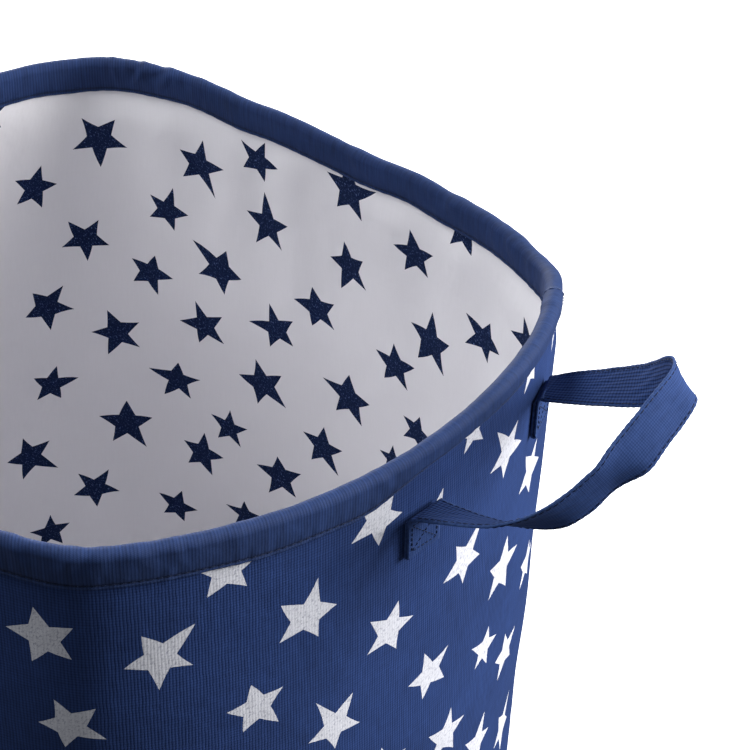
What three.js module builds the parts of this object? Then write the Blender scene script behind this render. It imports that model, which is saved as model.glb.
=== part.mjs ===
// A round fabric storage bin with a spring-wire rim and two webbing handles.
// Millimetres, Z up. The bin stands on z = 0 with its axis on the Z axis, and the handles are on +X and -X.
import * as THREE from 'three';

// Overall size. Radii are those of the round base, and the rim then goes out of round as settle says.
const MID_RADIUS = 200;
const HOOP_Z = 446;

// Wall cloths, as [inner radius, outer radius].
const LINING = [198.0, 198.6];
const INTERLINING = [198.9, 200.9];
const SHELL = [201.2, 202.0];
const SHELL_TOP = HOOP_Z - 4;
const INTERLINING_TOP = HOOP_Z - 6;
const INNER_WALL_BOTTOM = 1.1;

// Base discs, as radius, bottom and top.
const BASE_PANEL = { radius: 200.9, bottom: 0, top: 0.8 };
const BASE_BOARD = { radius: 197.7, bottom: 1.1, top: 3.6 };
const BASE_LINING = { radius: 197.7, bottom: 3.9, top: 4.5 };

// The wire hoop in the rim, and the crimped sleeve that joins its two ends at the back.
const WIRE_RADIUS = 1.5;
const HOOP_JOINT_ANGLE = 76;
const HOOP_END_GAP = 0.6;
const FERRULE_RADII = [2.1, 2.8];
const FERRULE_SPAN = 6;

// The binding tape folded over the hoop and the tops of the cloths.
const BINDING_TUBE_RADII = [3.2, 4.0];
const BINDING_SKIRT = [196.9, 197.7, 202.3, 203.1];
const BINDING_BOTTOM = HOOP_Z - 17;

// How the soft rim sits: a rounded square with two blunted corners, a little longer along the handles. It is not
// quite level, and it sags or lifts a little in a few places.
const RIM_SQUARE = { power: 1.46, cornerAngle: 30.6, softness: 0.03 };
const CORNER_TRIM = { depth: 2.7, sharpness: 12 };
const RIM_OVAL = { height: 12.6, crest: 4.6 };
const RIM_WAVES = [{ count: 2, height: 4.4, crest: -53.4 }, { count: 4, height: 3.8, crest: 15.6 }];
const RIM_SAGS = [
  { angle: 35, spread: 6.5, drop: 3.4 },
  { angle: 60, spread: 5.5, drop: -2.1 },
  { angle: 94, spread: 6.5, drop: 2.1 },
  { angle: 122, spread: 4.5, drop: 1.1 },
];

// Handles: each end of the webbing is folded double and sewn flat to the shell, and the rest is a free loop.
const WEBBING = { width: 20, thickness: 1.4 };
const SEWN_END = { radii: [202.3, 204.9], angle: 14.3, span: 6, bottom: HOOP_Z - 48, top: HOOP_Z - 26 };
const HANDLES = [['right', 0], ['left', 180]];

// The free loop from its front root to its back root: where its centre line is, and which way its width points
// there. X is out from the bin's axis, Y runs round it and Z is up from the hoop.
const LOOP = [
  { at: [198.8, -50.5, -25.6], width: [-0.13, -0.99, 0] },
  { at: [234, -56.5, -17.5], width: [-0.2, -0.85, 0.5] },
  { at: [264.5, -46.5, -0.5], width: [-0.4, -0.55, 0.7] },
  { at: [281.5, -23, 23], width: [-0.7, -0.3, 0.65] },
  { at: [286, 4.5, 35], width: [-0.7, 0, 0.7] },
  { at: [279.5, 25.5, 25], width: [-0.6, 0.4, 0.7] },
  { at: [262, 38.5, 4], width: [-0.25, 0.75, 0.6] },
  { at: [235, 47, -12], width: [0, 0.9, 0.4] },
  { at: [212.2, 53.4, -23.4], width: [0.13, 0.99, 0] },
];

const RING_STEPS = 72;
const WALL_STEPS = 6;
const WIRE_STEPS = 10;
const TUBE_ARC_STEPS = 8;
const LOOP_STEPS = 40;

const COLOURS = {
  navyPrint: { color: '#22355f', roughness: 0.85 },
  liningPrint: { color: '#bdbdc9', roughness: 0.6 },
  felt: { color: '#d8d6d0', roughness: 0.95 },
  board: { color: '#9a8468', roughness: 0.9 },
  spring: { color: '#b9bcc0', roughness: 0.35, metalness: 1 },
  ferrule: { color: '#a7a9ac', roughness: 0.45, metalness: 1 },
  binding: { color: '#293c6e', roughness: 0.55 },
  webbing: { color: '#30457c', roughness: 0.7 },
};

const radians = (degrees) => THREE.MathUtils.degToRad(degrees);

// The distance to the edge of a unit rounded square, in the direction angle away from one of its corners.
function squareReach(angle) {
  const { power, softness } = RIM_SQUARE;
  const across = Math.hypot(Math.cos(angle), softness);
  const along = Math.hypot(Math.sin(angle), softness);
  return (across ** power + along ** power) ** (-1 / power);
}

function rimRadius(angle) {
  const middleReach = (squareReach(0) + squareReach(Math.PI / 4)) / 2;
  const fromCorner = angle - radians(RIM_SQUARE.cornerAngle);
  const square = (MID_RADIUS * squareReach(fromCorner)) / middleReach;
  const trim = CORNER_TRIM.depth * Math.max(Math.cos(2 * fromCorner), 0) ** CORNER_TRIM.sharpness;
  return square + RIM_OVAL.height * Math.cos(2 * (angle - radians(RIM_OVAL.crest))) - trim;
}

// An angle in degrees, brought to between -180 and 180.
function nearestTurn(degrees) {
  return degrees - 360 * Math.round(degrees / 360);
}

function rimSag(angle) {
  const away = (sag) => nearestTurn(THREE.MathUtils.radToDeg(angle) - sag.angle) / sag.spread;
  return RIM_SAGS.reduce((sum, sag) => sum + sag.drop * Math.exp(-(away(sag) ** 2)), 0);
}

function rimWave(angle) {
  const level = RIM_WAVES.map((wave) => wave.height * Math.cos(wave.count * (angle - radians(wave.crest))));
  return level.reduce((sum, height) => sum + height, -rimSag(angle));
}

// The base is round and level. Going up the wall, the rim's outline and waves come in evenly.
function settle(angle, radius, z) {
  const share = z / HOOP_Z;
  const stretched = radius * (1 + share * (rimRadius(angle) / MID_RADIUS - 1));
  return [stretched * Math.cos(angle), stretched * Math.sin(angle), z + share * rimWave(angle)];
}

function closedGeometry(points, triangles) {
  const geometry = new THREE.BufferGeometry();
  geometry.setAttribute('position', new THREE.Float32BufferAttribute(points.flat(), 3));
  geometry.setIndex(triangles.flat());
  geometry.computeVertexNormals();
  return geometry;
}

function anglesBetween(from, to, steps) {
  return Array.from({ length: steps + 1 }, (_, i) => radians(from + ((to - from) * i) / steps));
}

// Triangles over a flat section and its holes, all turned the same way.
function sectionTriangles(loops) {
  const [outline, ...holes] = loops.map((loop) => loop.map(([r, z]) => new THREE.Vector2(r, z)));
  const flat = loops.flat();
  return THREE.ShapeUtils.triangulateShape(outline, holes).map(([a, b, c]) => {
    const turn = (flat[b][0] - flat[a][0]) * (flat[c][1] - flat[a][1])
      - (flat[c][0] - flat[a][0]) * (flat[b][1] - flat[a][1]);
    return turn > 0 ? [a, b, c] : [a, c, b];
  });
}

// Sweeps a section of [radius, z] loops round the axis. The first loop runs anticlockwise and any hole clockwise.
// With closed set, the last angle joins the first; otherwise both ends are capped. A facet is always split along
// the diagonal that climbs to the next angle, so that nested cloths keep the gap between them.
function sweep(loops, angles, closed) {
  const section = loops.flat();
  const points = angles.flatMap((angle) => section.map(([r, z]) => settle(angle, r, z)));
  const triangles = [];
  const joins = closed ? angles.length : angles.length - 1;
  for (let i = 0; i < joins; i++) {
    const here = i * section.length;
    const next = ((i + 1) % angles.length) * section.length;
    let first = 0;
    for (const loop of loops) {
      for (let k = 0; k < loop.length; k++) {
        const a = first + k;
        const b = first + ((k + 1) % loop.length);
        const [nextA, nextB] = [next + a, next + b];
        if (section[b][1] > section[a][1]) {
          triangles.push([here + a, nextA, nextB], [here + a, nextB, here + b]);
        } else {
          triangles.push([here + a, nextA, here + b], [here + b, nextA, nextB]);
        }
      }
      first += loop.length;
    }
  }
  if (!closed) {
    const last = (angles.length - 1) * section.length;
    for (const [a, b, c] of sectionTriangles(loops)) {
      triangles.push([a, b, c], [last + a, last + c, last + b]);
    }
  }
  return closedGeometry(points, triangles);
}

function ringAngles() {
  return anglesBetween(0, 360, RING_STEPS).slice(0, RING_STEPS);
}

// An upright strip of cloth in section, with its height cut into steps.
function band([inner, outer], bottom, top, steps = 1) {
  const heights = Array.from({ length: steps + 1 }, (_, i) => bottom + ((top - bottom) * i) / steps);
  return [...heights.map((z) => [outer, z]), ...heights.map((z) => [inner, z]).reverse()];
}

function clothTube(radii, bottom, top) {
  return sweep([band(radii, bottom, top, WALL_STEPS)], ringAngles(), true);
}

function disc({ radius, bottom, top }) {
  const angles = ringAngles();
  const points = [[0, 0, bottom], [0, 0, top]];
  const triangles = [];
  angles.forEach((angle, i) => {
    points.push(settle(angle, radius, bottom), settle(angle, radius, top));
    const low = 2 + 2 * i;
    const nextLow = 2 + 2 * ((i + 1) % angles.length);
    triangles.push([0, nextLow, low], [1, low + 1, nextLow + 1]);
    triangles.push([low, nextLow, nextLow + 1], [low, nextLow + 1, low + 1]);
  });
  return closedGeometry(points, triangles);
}

function circle(radius, steps) {
  return Array.from({ length: steps }, (_, i) => {
    const turn = (2 * Math.PI * i) / steps;
    return [MID_RADIUS + radius * Math.cos(turn), HOOP_Z + radius * Math.sin(turn)];
  });
}

function wireHoop() {
  const half = HOOP_END_GAP / 2;
  const angles = anglesBetween(HOOP_JOINT_ANGLE + half, HOOP_JOINT_ANGLE + 360 - half, RING_STEPS);
  return sweep([circle(WIRE_RADIUS, WIRE_STEPS)], angles, false);
}

function hoopFerrule() {
  const [bore, outer] = FERRULE_RADII;
  const angles = anglesBetween(HOOP_JOINT_ANGLE - FERRULE_SPAN / 2, HOOP_JOINT_ANGLE + FERRULE_SPAN / 2, 4);
  return sweep([circle(outer, WIRE_STEPS), circle(bore, WIRE_STEPS).reverse()], angles, false);
}

// A half circle over the hoop, from the outside to the inside.
function overHoop(radius) {
  return Array.from({ length: TUBE_ARC_STEPS + 1 }, (_, i) => {
    const turn = (Math.PI * i) / TUBE_ARC_STEPS;
    return [MID_RADIUS + radius * Math.cos(turn), HOOP_Z + radius * Math.sin(turn)];
  });
}

function bindingTape() {
  const [inside, insideFace, outsideFace, outside] = BINDING_SKIRT;
  const [tubeInner, tubeOuter] = BINDING_TUBE_RADII;
  const neck = HOOP_Z - tubeOuter;
  const outline = [
    [outsideFace, BINDING_BOTTOM],
    [outside, BINDING_BOTTOM],
    [outside, neck],
    ...overHoop(tubeOuter),
    [inside, neck],
    [inside, BINDING_BOTTOM],
    [insideFace, BINDING_BOTTOM],
    [insideFace, neck],
    ...overHoop(tubeInner).reverse(),
    [outsideFace, neck],
  ];
  return sweep([outline], ringAngles(), true);
}

function sewnEnd(middle) {
  const { radii, span, bottom, top } = SEWN_END;
  return sweep([band(radii, bottom, top)], anglesBetween(middle - span / 2, middle + span / 2, 4), false);
}

function smoothThrough(rows) {
  return new THREE.CatmullRomCurve3(rows.map((row) => new THREE.Vector3(...row)), false, 'centripetal');
}

function handleLoop(turn) {
  const path = smoothThrough(LOOP.map((row) => row.at));
  const widths = smoothThrough(LOOP.map((row) => row.width));
  const upright = new THREE.Vector3(0, 0, 1);
  const points = [];
  for (let i = 0; i <= LOOP_STEPS; i++) {
    const share = i / LOOP_STEPS;
    const centre = path.getPoint(share);
    const along = path.getTangent(share);
    const wide = widths.getPoint(share);
    wide.addScaledVector(along, -wide.dot(along)).setLength(WEBBING.width / 2);
    const thick = along.clone().cross(wide).setLength(WEBBING.thickness / 2);
    for (const [w, t] of [[1, 1], [-1, 1], [-1, -1], [1, -1]]) {
      const corner = centre.clone().addScaledVector(wide, w).addScaledVector(thick, t);
      corner.z += HOOP_Z;
      points.push(corner.applyAxisAngle(upright, radians(turn)).toArray());
    }
  }
  return closedGeometry(points, loopTriangles());
}

function loopTriangles() {
  const triangles = [[0, 2, 1], [0, 3, 2]];
  for (let i = 0; i < LOOP_STEPS; i++) {
    for (let k = 0; k < 4; k++) {
      const a = 4 * i + k;
      const b = 4 * i + ((k + 1) % 4);
      triangles.push([a, b, b + 4], [a, b + 4, a + 4]);
    }
  }
  const last = 4 * LOOP_STEPS;
  triangles.push([last, last + 1, last + 2], [last, last + 2, last + 3]);
  return triangles;
}

const bin = new THREE.Group();
bin.name = 'fabric_storage_bin';

function add(name, geometry, look) {
  const mesh = new THREE.Mesh(geometry, new THREE.MeshStandardMaterial({ metalness: 0, ...look }));
  mesh.name = name;
  mesh.material.name = name;
  bin.add(mesh);
}

add('outer_shell', clothTube(SHELL, 0, SHELL_TOP), COLOURS.navyPrint);
add('wall_interlining', clothTube(INTERLINING, INNER_WALL_BOTTOM, INTERLINING_TOP), COLOURS.felt);
add('wall_lining', clothTube(LINING, INNER_WALL_BOTTOM, SHELL_TOP), COLOURS.liningPrint);
add('base_panel', disc(BASE_PANEL), COLOURS.navyPrint);
add('base_board', disc(BASE_BOARD), COLOURS.board);
add('base_lining', disc(BASE_LINING), COLOURS.liningPrint);
add('rim_hoop', wireHoop(), COLOURS.spring);
add('hoop_ferrule', hoopFerrule(), COLOURS.ferrule);
add('rim_binding', bindingTape(), COLOURS.binding);

for (const [side, turn] of HANDLES) {
  add(`${side}_sewn_end_front`, sewnEnd(turn - SEWN_END.angle), COLOURS.webbing);
  add(`${side}_sewn_end_back`, sewnEnd(turn + SEWN_END.angle), COLOURS.webbing);
  add(`${side}_handle_loop`, handleLoop(turn), COLOURS.webbing);
}

export default bin;
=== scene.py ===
import math

import bpy
import numpy as np
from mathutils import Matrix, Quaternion, Vector
from mathutils.geometry import delaunay_2d_cdt


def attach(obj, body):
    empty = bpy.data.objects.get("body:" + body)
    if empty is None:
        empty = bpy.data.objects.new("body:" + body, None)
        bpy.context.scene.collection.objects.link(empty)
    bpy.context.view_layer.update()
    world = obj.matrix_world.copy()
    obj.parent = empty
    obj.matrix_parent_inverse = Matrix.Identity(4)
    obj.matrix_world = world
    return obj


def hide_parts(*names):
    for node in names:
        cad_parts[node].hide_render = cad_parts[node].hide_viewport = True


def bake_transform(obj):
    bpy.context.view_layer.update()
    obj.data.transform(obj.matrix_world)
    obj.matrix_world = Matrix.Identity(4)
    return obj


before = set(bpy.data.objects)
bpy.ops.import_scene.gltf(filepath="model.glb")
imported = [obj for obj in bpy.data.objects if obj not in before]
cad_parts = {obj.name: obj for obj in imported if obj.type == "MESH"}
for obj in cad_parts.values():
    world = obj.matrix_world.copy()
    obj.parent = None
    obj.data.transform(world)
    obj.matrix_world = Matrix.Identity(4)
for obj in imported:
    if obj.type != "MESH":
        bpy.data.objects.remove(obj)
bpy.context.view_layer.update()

MM = 0.001
TURN = 2 * math.pi

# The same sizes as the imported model's.
MID_RADIUS = 200.0
HOOP_Z = 446.0
SHELL = (201.2, 202.0)
LINING = (198.0, 198.6)
INTERLINING = (198.9, 200.9)
BASE_PANEL = {"radius": 200.6, "bottom": 0.0, "thickness": 0.8}
BASE_LINING = {"radius": 197.7, "bottom": 3.9, "thickness": 0.6}
RIM_SQUARE = {"power": 1.46, "corner": math.radians(30.6), "softness": 0.03}
RIM_OVAL = {"height": 12.6, "crest": math.radians(4.6)}
RIM_WAVES = ((2, 4.4, math.radians(-53.4)), (4, 3.8, math.radians(15.6)))
CORNER_TRIM = {"depth": 2.7, "sharpness": 12}
# Where the rim sags, or lifts where the drop is negative, as (angle, spread, drop) in degrees and millimetres.
RIM_SAGS = ((35, 6.5, 3.4), (60, 5.5, -2.1), (94, 6.5, 2.1), (122, 4.5, 1.1))
TUBE_RADII = (3.2, 4.0)
SKIRT_REACH = (2.3, 3.1)
SKIRT_DROP = 14.0
SEWN_END_ANGLE = math.radians(14.3)
SEWN_END_BOTTOM = -48.0
STRAP_HALF_WIDTH = 10.0
STRAP_HALF_THICKNESS = 0.66
LOOP_STEPS = 44

# The free part of the right strap, from the front root to the back root: the centre line, and the way its width
# points. X is out from the axis, Y runs round it and Z is up from the hoop.
LOOP = (
    ((234, -56.5, -17.5), (-0.2, -0.85, 0.5)),
    ((256, -52.0, -8.0), (-0.42, -0.6, 0.66)),
    ((269.6, -38.6, 4.6), (-0.42, -0.6, 0.69)),
    ((277.5, -27.5, 14.5), (-0.72, -0.33, 0.6)),
    ((284.5, -5.0, 25.0), (-0.7, -0.12, 0.7)),
    ((286.8, 9.0, 28.0), (-0.7, 0.06, 0.7)),
    ((279.5, 20.5, 22.5), (-0.58, 0.42, 0.7)),
    ((260, 37.5, 2), (-0.25, 0.75, 0.6)),
    ((235, 46.5, -13), (0, 0.9, 0.4)),
)

# Printed stars, as (along, drop, radius, turn): millimetres round the wall from the middle of the right handle,
# millimetres below the hoop, tip radius, and degrees turned from one tip pointing up. The rest of each cloth is
# filled with stars of the same kind. The known stars of each cloth are moved together by (along, drop), and the
# shell's are a little smaller than listed.
SHELL_STAR_SHIFT = (0, 0.8)
LINING_STAR_SHIFT = (-0.3, -1.6)
SHELL_STAR_SCALE = 0.97
SHELL_STAR_RADII = (13.5, 16)
LINING_STAR_RADII = (12.5, 16)
SHELL_STARS = (
    (-224, 42, 16, -12), (-178, 54, 17, -30), (-149, 15.5, 15, 0), (-112, 53, 17, 18), (-74, 19, 15.5, 36),
    (-216, 87.5, 14.5, -26), (-137, 94, 14.5, -8), (-98, 122, 16, -32), (-67, 84, 15, 22), (-41, 127, 15, -14),
    (-17, 76, 15, -28), (-15, 6, 11, 0), (16, 37, 15.5, -30), (18, 107, 16, 15), (4.5, 146, 12, 20),
    (48, 71, 16, -34), (29, 169, 14, -5), (-27.5, 175, 15.5, 12), (2.5, 206, 15, 20), (56, 134, 14, 10),
    (40, 227.5, 15, -30), (36, 7.5, 10, 0), (-70, 166, 14, 0), (-178, 120, 15, 0), (-40.5, 37.5, 12.5, 25),
)
LINING_STARS = (
    (174, 14, 12.5, 0), (253, 24, 17, 0), (318, 31, 13, -18), (206, 45, 14, 8), (113, 44, 14, 22),
    (154.5, 69, 14, -18), (193, 92, 17.5, 3), (254.5, 72, 15, 18), (313, 70, 16, 2), (358, 48, 15, -9),
    (417, 43, 15, 36), (454, 69, 13, -18), (380, 82, 13, -18), (428, 105.5, 14, 36), (279, 111, 14.5, 15),
    (347, 110, 16, -22), (392, 125, 13, -18), (219.5, 121, 15, 2), (309, 136, 15, 18), (358.5, 151, 15, 20),
    (452, 146, 14.5, 36), (257.5, 162, 17, -2), (413.5, 168, 15.5, 18), (204, 158, 12.5, -15),
    (320, 178, 17, 18), (378, 195, 14, 0), (453, 199, 13, -14), (278.5, 208, 15, -3), (345, 219, 12.5, -5),
    (410.5, 232, 16, 0), (310, 242, 16, 8), (469, 246, 15.5, 18), (364, 244, 14.5, -10), (432, 277, 14, 36),
    (382, 288, 12.5, -18), (336, 280.5, 11, 0), (461, 304, 12.5, 0), (477, 18, 12, 0), (224, 189, 11, 0),
)


# ---- the bin's shape -------------------------

def square_reach(angle):
    """The distance to the edge of a unit rounded square, at an angle away from one of its corners."""
    across = np.hypot(np.cos(angle), RIM_SQUARE["softness"])
    along = np.hypot(np.sin(angle), RIM_SQUARE["softness"])
    return (across ** RIM_SQUARE["power"] + along ** RIM_SQUARE["power"]) ** (-1 / RIM_SQUARE["power"])


def rim_radius(angle):
    """How far the rim is from the axis."""
    middle = (square_reach(0.0) + square_reach(math.pi / 4)) / 2
    from_corner = angle - RIM_SQUARE["corner"]
    square = MID_RADIUS * square_reach(from_corner) / middle
    trim = CORNER_TRIM["depth"] * np.maximum(np.cos(2 * from_corner), 0) ** CORNER_TRIM["sharpness"]
    return square + RIM_OVAL["height"] * np.cos(2 * (angle - RIM_OVAL["crest"])) - trim


def rim_sag(angle):
    """How far the rim hangs down in the places where it sags."""
    away = [np.mod(np.degrees(angle) - at + 180, 360) - 180 for at, _, _ in RIM_SAGS]
    return sum(drop * np.exp(-(gap / spread) ** 2) for gap, (_, spread, drop) in zip(away, RIM_SAGS))


def rim_wave(angle):
    """How far the rim lies above its mean height."""
    return sum(height * np.cos(count * (angle - crest)) for count, height, crest in RIM_WAVES) - rim_sag(angle)


def settle(angle, radius, z):
    """Points of the round, level bin, moved to where the soft bin's rim and walls really lie."""
    share = z / HOOP_Z
    reach = radius * (1 + share * (rim_radius(angle) / MID_RADIUS - 1))
    return np.stack([reach * np.cos(angle), reach * np.sin(angle), z + share * rim_wave(angle)], axis=-1)


def smoothstep(low, high, x):
    t = np.clip((x - low) / (high - low), 0, 1)
    return t * t * (3 - 2 * t)


def band(x, rises, falls):
    """1 in the middle of a band and 0 outside it, rising and falling smoothly over these ranges of x."""
    return smoothstep(*rises, x) * (1 - smoothstep(*falls, x))


def ripples(angle, z, seed, counts, slants):
    """A smooth seeded pattern of folds round the bin, between about -1 and 1."""
    draw = np.random.RandomState(seed)
    total = 0.0
    for count in counts:
        phase, slant = draw.uniform(0, TURN), draw.choice(slants)
        total = total + np.cos(count * angle + phase + TURN * slant * z / HOOP_Z)
    return total / len(counts) ** 0.5


# ---- mesh helpers ----------------------------

def make_object(name, points, faces, materials, face_materials=None, attributes=None):
    """A smooth-shaded mesh from points in millimetres. attributes are floats or vectors for each point."""
    mesh = bpy.data.meshes.new(name)
    mesh.from_pydata((np.asarray(points, float) * MM).tolist(), [], [tuple(int(i) for i in f) for f in faces])
    mesh.polygons.foreach_set("use_smooth", [True] * len(mesh.polygons))
    for material in materials:
        mesh.materials.append(material)
    if face_materials is not None:
        mesh.polygons.foreach_set("material_index", np.asarray(face_materials, np.int32))
    for key, values in (attributes or {}).items():
        values = np.asarray(values, np.float32)
        if values.ndim == 1:
            mesh.attributes.new(key, "FLOAT", "POINT").data.foreach_set("value", values)
        else:
            mesh.attributes.new(key, "FLOAT_VECTOR", "POINT").data.foreach_set("vector", values.ravel())
    mesh.update()
    thing = bpy.data.objects.new(name, mesh)
    bpy.context.scene.collection.objects.link(thing)
    return thing


def unit(v):
    return v / np.maximum(np.linalg.norm(v, axis=-1, keepdims=True), 1e-9)


def path_lengths(points):
    """How far along a line each of its points lies."""
    return np.concatenate([[0], np.cumsum(np.linalg.norm(np.diff(points, axis=0), axis=1))])


def grid_faces(rows, columns, close_rows=False, close_columns=False, first=0):
    """Quads over a grid of points stored row after row."""
    r = np.arange(rows if close_rows else rows - 1)
    c = np.arange(columns if close_columns else columns - 1)
    r, c = [a.ravel() for a in np.meshgrid(r, c, indexing="ij")]
    r2, c2 = (r + 1) % rows, (c + 1) % columns
    return first + np.stack([r * columns + c, r2 * columns + c, r2 * columns + c2, r * columns + c2], axis=1)


def printed_cloth(name, front, back, triangles, printed, flat, wear, materials):
    """A thin closed cloth from its front points and back points over the same flat triangles. printed is 1 or 0
    for each of them, and wear and flat go with each point."""
    triangles = np.asarray(triangles)
    count = len(front)
    edges = np.concatenate([triangles[:, [0, 1]], triangles[:, [1, 2]], triangles[:, [2, 0]]])
    known = {tuple(e) for e in edges.tolist()}
    rim = [e for e in edges.tolist() if (e[1], e[0]) not in known]
    sides = [(b, a, a + count, b + count) for a, b in rim]
    faces = triangles.tolist() + (triangles[:, ::-1] + count).tolist() + sides
    kinds = list(printed) * 2 + [0] * len(sides)
    plan = np.column_stack([flat * MM, np.zeros(count)])
    attributes = {"flat": np.concatenate([plan, plan]), "wear": np.concatenate([wear, wear])}
    return make_object(name, np.concatenate([front, back]), faces, materials, kinds, attributes)


# ---- the printed cloth -----------------------

STAR_TIPS = 5
STAR_SIDE_STEPS = 3
STAR_INNER = (0.41, 0.5)
STAR_TIP_SPREAD = 0.1
STAR_LONG_TIP = 0.3
STAR_ANGLE_SPREAD = math.radians(4)
STAR_BOW = 0.03
# How close a cloth's grid points may come to a star's outline, in grid steps.
STAR_CLEARANCE = 0.22


def star_outline(centre, radius, turn, draw):
    """A hand-drawn star: uneven tips, uneven hollows and sides that bow a little."""
    corners = []
    long_tip = 2 * draw.randint(STAR_TIPS)
    stretch = draw.uniform(0, STAR_LONG_TIP)
    for i in range(2 * STAR_TIPS):
        tip = i % 2 == 0
        share = 1 + draw.uniform(-STAR_TIP_SPREAD, STAR_TIP_SPREAD) if tip else draw.uniform(*STAR_INNER)
        reach = radius * share
        if i == long_tip:
            reach += radius * stretch
        angle = turn + math.pi * i / STAR_TIPS + draw.uniform(-STAR_ANGLE_SPREAD, STAR_ANGLE_SPREAD)
        corners.append((centre[0] + reach * math.sin(angle), centre[1] + reach * math.cos(angle)))
    outline = []
    for i, (x, y) in enumerate(corners):
        x2, y2 = corners[(i + 1) % len(corners)]
        bow = draw.uniform(-STAR_BOW, STAR_BOW)
        for k in range(STAR_SIDE_STEPS):
            t = k / STAR_SIDE_STEPS
            lift = 4 * t * (1 - t) * bow
            outline.append((x + (x2 - x) * t - (y2 - y) * lift, y + (y2 - y) * t + (x2 - x) * lift))
    return np.array(outline)


def clip_to(outline, border):
    """The part of an outline inside a convex anticlockwise border."""
    for a, b in zip(border, np.roll(border, -1, axis=0)):
        side = (b[0] - a[0]) * (outline[:, 1] - a[1]) - (b[1] - a[1]) * (outline[:, 0] - a[0])
        kept = []
        for i in range(len(outline)):
            j = (i + 1) % len(outline)
            if side[i] >= 0:
                kept.append(outline[i])
            if (side[i] >= 0) != (side[j] >= 0):
                t = side[i] / (side[i] - side[j])
                kept.append(outline[i] + (outline[j] - outline[i]) * t)
        if len(kept) < 3:
            return None
        outline = np.array(kept)
    return outline


def spread_stars(placed, box, spacing, radii, draw, tries=9000):
    """Adds stars at random wherever there is room for one, round those already placed."""
    spots = [(x, y) for x, y, _, _ in placed]
    found = list(placed)
    for _ in range(tries):
        x, y = draw.uniform(box[0], box[1]), draw.uniform(box[2], box[3])
        if min((x - px) ** 2 + (y - py) ** 2 for px, py in spots) < spacing ** 2:
            continue
        spots.append((x, y))
        found.append((x, y, draw.uniform(*radii), draw.uniform(0, 360 / STAR_TIPS)))
    return found


def inside(points, outline):
    """Which points are inside an outline."""
    x, y = points[:, 0], points[:, 1]
    result = np.zeros(len(points), bool)
    for (x1, y1), (x2, y2) in zip(outline, np.roll(outline, -1, axis=0)):
        if y1 == y2:
            continue
        crosses = (y1 > y) != (y2 > y)
        result ^= crosses & (x < x1 + (x2 - x1) * (y - y1) / (y2 - y1))
    return result


def near(points, outline, within):
    """Which points are close to an outline."""
    low, high = outline.min(0) - within, outline.max(0) + within
    candidates = np.where(np.all((points > low) & (points < high), axis=1))[0]
    close = np.zeros(len(points), bool)
    for a, b in zip(outline, np.roll(outline, -1, axis=0)):
        d = b - a
        p = points[candidates]
        t = np.clip(((p - a) @ d) / max(d @ d, 1e-12), 0, 1)
        close[candidates[np.hypot(*(p - a - t[:, None] * d).T) < within]] = True
    return close


def printed_pattern(border, grid, step, stars, seed):
    """Flat triangles over a cloth whose cut is the convex border, with the printed stars' own edges in them.
    Returns the flat points, the triangles, and 1 or 0 for each triangle that is or isn't print."""
    draw = np.random.RandomState(seed)
    outlines = []
    for x, y, radius, turn in stars:
        outline = clip_to(star_outline((x, y), radius, math.radians(turn), draw), border)
        if outline is not None:
            outlines.append(outline)
    for outline in outlines:
        grid = grid[~near(grid, outline, step * STAR_CLEARANCE)]
    points = [*grid, *border]
    edges = []
    for outline in outlines:
        first = len(points)
        points.extend(outline)
        edges.extend((first + i, first + (i + 1) % len(outline)) for i in range(len(outline)))
    made = delaunay_2d_cdt([Vector(p) for p in points], edges, [], 0, 1e-4)
    flat = np.array([tuple(p) for p in made[0]])
    triangles = np.array(made[2])
    a, b, c = flat[triangles[:, 0]], flat[triangles[:, 1]], flat[triangles[:, 2]]
    size = (b[:, 0] - a[:, 0]) * (c[:, 1] - a[:, 1]) - (b[:, 1] - a[:, 1]) * (c[:, 0] - a[:, 0])
    triangles = np.where(size[:, None] > 0, triangles, triangles[:, ::-1])[np.abs(size) > 1e-6]
    middles = flat[triangles].mean(1)
    printed = np.zeros(len(triangles), int)
    for outline in outlines:
        printed[inside(middles, outline)] = 1
    return flat, triangles, printed


def wall_pattern(bottom, top, stars, seed):
    """The flat wall cloth: x runs round the bin at the hoop's radius, and y is height."""
    xs = np.linspace(CLOTH_START, CLOTH_END, int((CLOTH_END - CLOTH_START) / WALL_STEP) + 1)
    ys = np.linspace(bottom, top, int((top - bottom) / WALL_STEP) + 1)
    x, y = [a.ravel() for a in np.meshgrid(xs, ys)]
    grid = np.stack([x, y], axis=1)
    at_side, at_end = np.isin(x, (CLOTH_START, CLOTH_END)), np.isin(y, (bottom, top))
    border = np.array([(CLOTH_START, bottom), (CLOTH_END, bottom), (CLOTH_END, top), (CLOTH_START, top)])
    inner, rim = grid[~(at_side | at_end)], grid[at_side ^ at_end]
    return printed_pattern(border, np.concatenate([inner, rim]), WALL_STEP, stars, seed)


# ---- the walls -------------------------------

SIDE_SEAM_ANGLE = math.radians(-150)
SEAM_LAP = 12.0
# Each wall cloth runs once round from the side seam and laps over its own start.
CLOTH_START = SIDE_SEAM_ANGLE * MID_RADIUS
CLOTH_END = CLOTH_START + TURN * MID_RADIUS + SEAM_LAP
WALL_STEP = 5.5
DISC_STEP = 6.0
SHELL_TOP = HOOP_Z - 4
INNER_WALL_BOTTOM = 1.1
BASE_TUCK = {"depth": 1.1, "height": 3.5}
LAP_RISE = 0.15
# The shell stands fuller below the rim's right corner, over this range of drops below the hoop.
CORNER_FULLNESS = {"angle": 34, "spread": 10, "out": 3.3, "rises": (16, 32), "falls": (60, 230)}


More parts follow.
